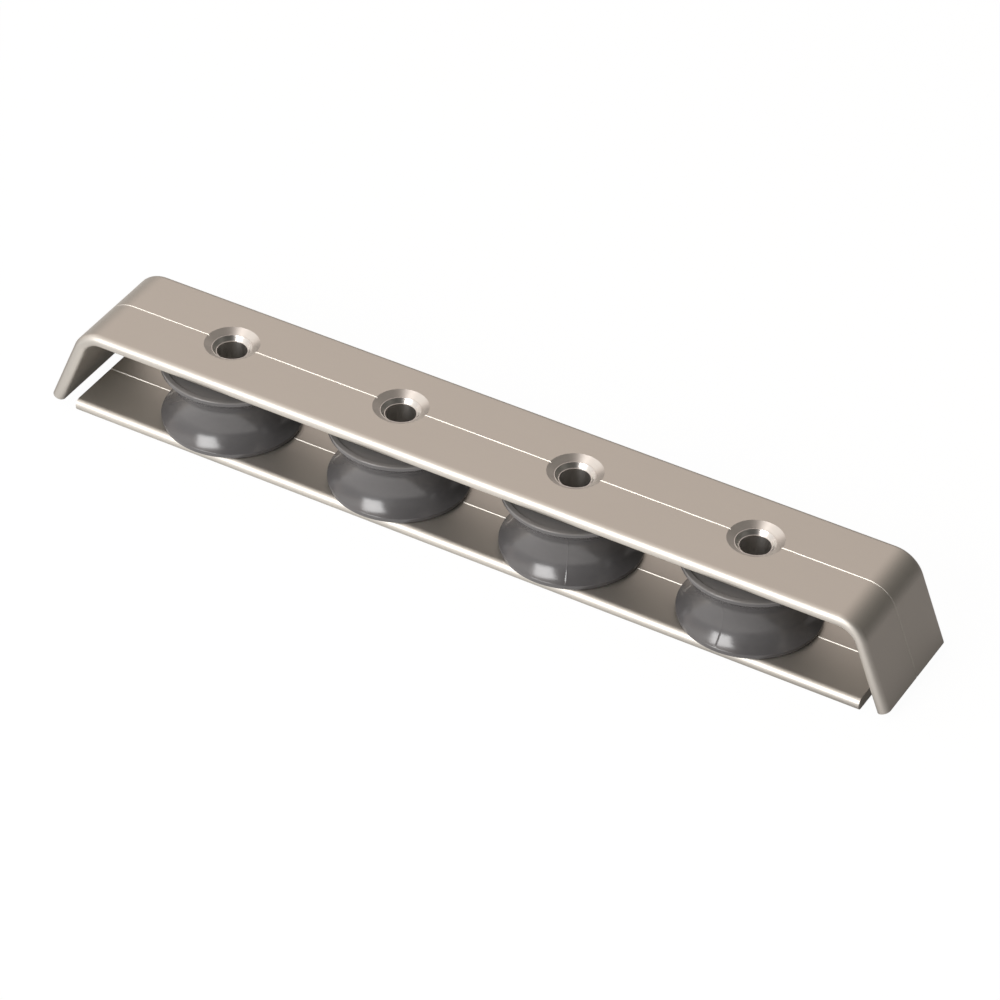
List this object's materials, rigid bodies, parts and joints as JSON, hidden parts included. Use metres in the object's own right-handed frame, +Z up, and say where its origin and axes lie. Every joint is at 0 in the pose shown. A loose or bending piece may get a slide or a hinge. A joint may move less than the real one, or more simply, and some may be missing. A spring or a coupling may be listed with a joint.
{
  "type": "deck organizer",
  "caption": "Low organizer with a row of plain-bearing sheaves on tubular bushes between a flat base plate and a bent-down, countersunk top plate.",
  "frame": {"origin": "centre of the base plate's underside, on the deck", "axes": "+X along the row of sheaves, +Y across the plates, +Z up from the deck along the sheave axes"},
  "size_m": [0.2746, 0.042, 0.0301],
  "materials": {
    "anodised_bar": "satin anodised",
    "stainless": "turned",
    "sheave_plastic": "glossy moulded"
  },
  "bodies": {
    "frame": {"top_plate": "anodised_bar", "base_plate": "anodised_bar", "bush_1": "stainless", "bush_2": "stainless", "bush_3": "stainless", "bush_4": "stainless"},
    "sheave_1": {"sheave_1": "sheave_plastic"},
    "sheave_2": {"sheave_2": "sheave_plastic"},
    "sheave_3": {"sheave_3": "sheave_plastic"},
    "sheave_4": {"sheave_4": "sheave_plastic"}
  },
  "joints": [
    {"name": "sheave_1_spin", "type": "hinge", "parent": "frame", "child": "sheave_1", "pos_m": [-0.0855, 0, 0.015], "axis": [0, 0, 1], "continuous": true},
    {"name": "sheave_2_spin", "type": "hinge", "parent": "frame", "child": "sheave_2", "pos_m": [-0.0285, 0, 0.015], "axis": [0, 0, 1], "continuous": true},
    {"name": "sheave_3_spin", "type": "hinge", "parent": "frame", "child": "sheave_3", "pos_m": [0.0285, 0, 0.015], "axis": [0, 0, 1], "continuous": true},
    {"name": "sheave_4_spin", "type": "hinge", "parent": "frame", "child": "sheave_4", "pos_m": [0.0855, 0, 0.015], "axis": [0, 0, 1], "continuous": true}
  ]
}
